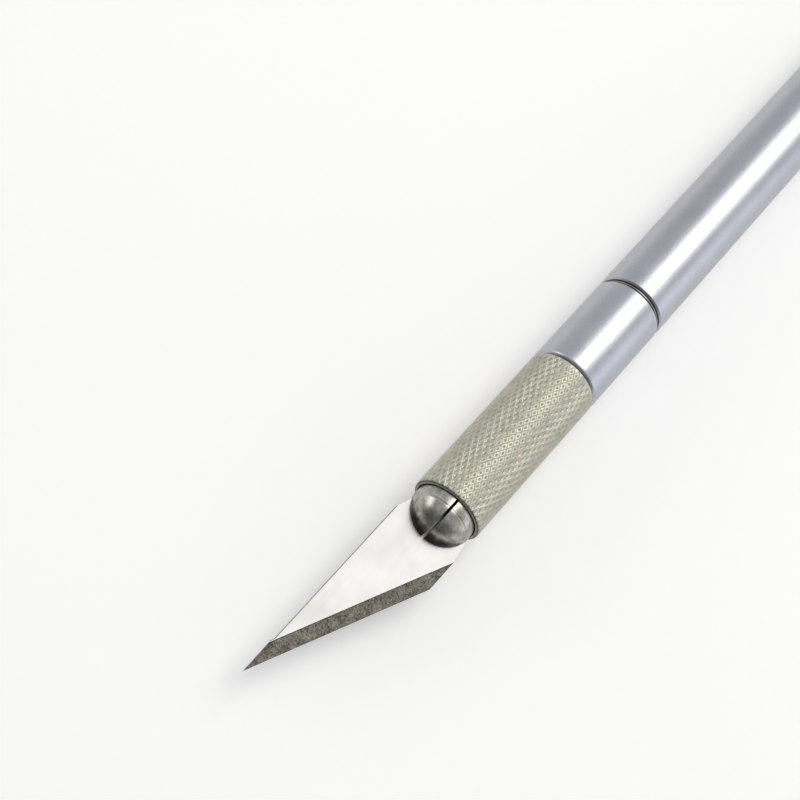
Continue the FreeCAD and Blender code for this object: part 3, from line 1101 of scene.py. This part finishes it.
# %% Stamped blank
SHOULDER_X = FACE + 4.2 * MM
KNEE = (FACE + 1.5 * MM, 4.25 * MM)
THROAT = (FACE - 1.2 * MM, 3.05 * MM)
TANG_HALF = 2.3 * MM
TANG_FRONT = FACE - 2.6 * MM
TANG_BACK = FACE - 13.4 * MM
TANG_CORNER = 0.6 * MM
HOLE_BACK = FACE - 11.4 * MM
HOLE_FRONT = FACE - 5.4 * MM
HOLE_R = 1.10 * MM
STEP_X = FACE + 27.0 * MM
STEP_LEN = 0.45 * MM
STEP_DEPTH = 0.16 * MM


def rounded_slot(back, front, r, steps=10):
    """Outline of a long hole."""
    points = []
    for x, turn in ((front, -math.pi / 2), (back, math.pi / 2)):
        for k in range(steps + 1):
            a = turn + math.pi * k / steps
            points.append((x + r * math.cos(a), r * math.sin(a)))
    return points


def stamped_blank():
    """Mesh of the strip with the blade's outline and its slot, still square at the edge."""
    outline = [
        (POINT_X, -BLADE_HALF - POINT_DROP), (BELLY_X, BLADE_HALF), (SHOULDER_X, BLADE_HALF), KNEE, THROAT,
        (TANG_FRONT, TANG_HALF), (TANG_BACK + TANG_CORNER, TANG_HALF), (TANG_BACK, TANG_HALF - TANG_CORNER),
        (TANG_BACK, TANG_CORNER - TANG_HALF), (TANG_BACK + TANG_CORNER, -TANG_HALF),
        (TANG_FRONT, -TANG_HALF), (THROAT[0], -THROAT[1]), (SHOULDER_X, -BLADE_HALF),
        (STEP_X - STEP_LEN, -BLADE_HALF), (STEP_X, -BLADE_HALF - STEP_DEPTH)]
    bm = bmesh.new()
    rims = []
    for loop in (outline, rounded_slot(HOLE_BACK, HOLE_FRONT, HOLE_R)):
        verts = [bm.verts.new((x, y, -BLADE_T / 2)) for x, y in loop]
        for i, vert in enumerate(verts):
            rims.append(bm.edges.new((vert, verts[(i + 1) % len(verts)])))
    bmesh.ops.triangle_fill(bm, edges=rims, use_beauty=True)
    raised = bmesh.ops.extrude_face_region(bm, geom=bm.faces[:])["geom"]
    for item in raised:
        if isinstance(item, bmesh.types.BMVert):
            item.co.z = BLADE_T / 2
    return bm


blank = stamped_blank()
print("blank:", len(blank.faces), "faces")

# %% [markdown]
# ## Grinding the blade
# Each face is ground at a shallow angle until the two bevels almost meet, so each bevel is one
# cut by a tilted plane. The bevel's inner border is a line parallel to the edge, and where it
# runs out at the spine it leaves the little step. The spine's edges are tumbled rounder than
# the rest, and the ground faces get their own material.

# %% Ground blade
EDGE_T = 0.03 * MM
SPINE_BOX = ((BELLY_X - 5 * MM, -BLADE_HALF - 0.2 * MM, -BLADE_T),
             (POINT_X - 5 * MM, -BLADE_HALF + 0.01 * MM, BLADE_T))


def grind(bm):
    """Cut both bevels and break the edges that are still sharp."""
    for side in (1, -1):
        rise = Vector((0, 0, side * (BLADE_T - EDGE_T) / 2))
        normal = RUN.cross(INWARD * BEVEL_W + rise).normalized()
        if normal.z * side > 0:
            normal = -normal
        keep_beyond(bm, POINT + Vector((0, 0, side * EDGE_T / 2)), normal)
    bmesh.ops.dissolve_limit(bm, angle_limit=math.radians(0.5), verts=bm.verts, edges=bm.edges)
    break_edges(bm, 60, 0.12 * MM, 3, SPINE_BOX)
    break_edges(bm, 60, 0.035 * MM)


def make_blade(bm):
    mesh = bpy.data.meshes.new("blade_skin")
    bm.to_mesh(mesh)
    bm.free()
    obj = bpy.data.objects.new("blade_skin", mesh)
    bpy.context.scene.collection.objects.link(obj)
    mesh.materials.append(blade_flat)
    mesh.materials.append(blade_bevel)
    finish_mesh(obj, 4)
    for face in mesh.polygons:
        tilted = 0.9 < abs(face.normal.z) < 0.9995
        near_edge = (face.center - POINT).dot(INWARD) < BEVEL_W * 1.01
        face.material_index = 1 if tilted and near_edge else 0
    return obj


grind(blank)
blade = make_blade(blank)
print("blade:", len(blade.data.polygons), "faces,",
      sum(1 for p in blade.data.polygons if p.material_index == 1), "ground")

# %% [markdown]
# ## Which body each piece rides on
# The knife has a fixed handle, a sleeve that turns, a collet that slides, four jaws that
# spring and a blade that draws out. Each skin takes the place of its solid and moves with it.
# The inner pieces keep their solids and only need a finish.

# %% Ride, replace and finish
rides = [
    (barrel, "handle", "barrel", "satin_aluminium"),
    (plug, "handle", "end_plug", "satin_aluminium"),
    (band, "handle", "front_ferrule", "satin_aluminium"),
    (ring, "handle", "seam_ring", "spacer_steel"),
    (sleeve, "sleeve", "knurled_sleeve", "knurl_metal"),
    (blade, "blade", "blade", "blade_steel")]
for number, jaw in enumerate(jaws, start=1):
    rides.append((jaw, "jaw_" + str(number), "collet_jaw_" + str(number), "collet_steel"))
for obj, body, node, slot in rides:
    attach(obj, body)
    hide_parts(node)
for node in ("key_pin", "retaining_ring", "collet_shank"):
    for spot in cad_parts[node].material_slots:
        spot.material = spacer_steel

# %% [markdown]
# ## A pale floor
# A small tool is shown on plain white paper. Paper in a real studio is lit more strongly than
# the tool, so here it glows a little where it is seen directly, and only there: the metal still
# mirrors plain paper, and keeps its contrast.

# %% Paper floor
FLOOR_HALF = 1.5
PAPER_GLOW = 0.26


def make_paper():
    mat = bpy.data.materials.new("floor_paper")
    mat.use_nodes = True
    tree = mat.node_tree
    surface = tree.nodes["Principled BSDF"]
    coords = add(tree, "ShaderNodeTexCoord").outputs["Object"]
    fibre = noise(tree, coords, 900.0, 4.0, 0.6, "paper fibre")
    tone = mix_colour(tree, fibre, (0.92, 0.92, 0.92), (0.96, 0.96, 0.96), "paper white")
    tree.links.new(tone, surface.inputs["Base Color"])
    surface.inputs["Roughness"].default_value = 0.9
    surface.inputs["Emission Color"].default_value = (1.0, 1.0, 1.0, 1.0)
    seen_directly = add(tree, "ShaderNodeLightPath").outputs["Is Camera Ray"]
    tree.links.new(times(tree, seen_directly, PAPER_GLOW), surface.inputs["Emission Strength"])
    tree.links.new(bump(tree, fibre, 0.01 * MM), surface.inputs["Normal"])
    return mat


corners = [(-FLOOR_HALF, -FLOOR_HALF, 0), (FLOOR_HALF, -FLOOR_HALF, 0),
           (FLOOR_HALF, FLOOR_HALF, 0), (-FLOOR_HALF, FLOOR_HALF, 0)]
floor_mesh = bpy.data.meshes.new("floor")
floor_mesh.from_pydata(corners, [], [(0, 1, 2, 3)])
floor_mesh.materials.append(make_paper())
floor = bpy.data.objects.new("floor", floor_mesh)
bpy.context.scene.collection.objects.link(floor)
floor.location = (0, 0, -HANDLE_R)
print("the knife lies on the paper at z =", floor.location.z)

# %% [markdown]
# ## Soft light
# Satin metal shows nothing but what stands around it, so the room is the real finish. A large
# panel above and behind the tail draws the broad white band along the handle. A low card on
# the left puts the bright spot on the dome, and a wide one on the right lifts the far side.

# %% Light panels
LIGHT_TARGET = Vector((0.05, 0, 0))


def panel(name, direction, distance, width, height, power, colour):
    """Soft rectangular light facing the knife from a direction."""
    light = bpy.data.lights.new(name, "AREA")
    light.shape = "RECTANGLE"
    light.size = width
    light.size_y = height
    light.energy = power
    light.color = colour
    obj = bpy.data.objects.new(name, light)
    bpy.context.scene.collection.objects.link(obj)
    toward = Vector(direction).normalized()
    obj.location = LIGHT_TARGET + toward * distance
    obj.rotation_euler = toward.to_track_quat("Z", "Y").to_euler()
    return obj


panels = [
    panel("key_panel", (-0.50, 0.07, 0.85), 0.8, 0.46, 0.80, 2.55, (1.0, 0.985, 0.915)),
    panel("left_card", (0.15, -0.90, 0.38), 0.8, 0.38, 0.28, 0.62, (1.0, 0.98, 0.91)),
    panel("side_card", (-0.30, 0.90, 0.28), 0.9, 0.9, 0.45, 0.80, (0.92, 0.95, 1.0))]
print("light, watts:", sum(light.data.energy for light in panels))

# %% [markdown]
# ## The room
# A white room all round would wash the steel out. One side of this room, the one the blade
# points to, is dark and darkest near the floor: that is what the polished dome mirrors in its
# lower half. Everything else is a pale wall that fills the shadows.

# %% Room
WALL_STRENGTH = 0.50
world = bpy.data.worlds.new("room")
bpy.context.scene.world = world
world.use_nodes = True
sky = world.node_tree
ahead, _, above = split_xyz(sky, add(sky, "ShaderNodeTexCoord").outputs["Generated"])
dark_side = times(sky, remap(sky, ahead, 0.20, 0.70, label="towards the dark side"),
                  remap(sky, above, 0.35, 0.95, 1.0, 0.45, "darkest near the floor"))
walls = mix_colour(sky, dark_side, (0.97, 0.98, 1.0), (0.14, 0.14, 0.15), "pale and dark walls")
sky.links.new(walls, sky.nodes["Background"].inputs["Color"])
sky.nodes["Background"].inputs["Strength"].default_value = WALL_STRENGTH
print("room:", len(sky.nodes), "nodes")

# %% [markdown]
# ## The camera
# The camera looks down steeply over the blade, close enough that the handle runs out of view at
# the tail. A wide lens could show it all, but a long one keeps the handle from tapering. The
# camera is rolled so that the knife lies along a diagonal, which leaves room for its length.

# %% Camera
SEAM_X = (BARREL_FRONT + BAND_BACK) / 2
camera_data = bpy.data.cameras.new("camera")
camera_data.sensor_width = 36.0
camera_data.lens = 87.90
camera_data.clip_start = 0.01
camera = bpy.data.objects.new("camera", camera_data)
bpy.context.scene.collection.objects.link(camera)
camera.location = (SEAM_X + 146.78 * MM, -10.725 * MM, 204.65 * MM)
camera.rotation_euler = [math.radians(angle) for angle in (22.368, -19.202, 129.767)]
bpy.context.scene.camera = camera
bpy.context.scene.view_settings.view_transform = "Standard"
print("camera at", [round(v, 3) for v in camera.location])
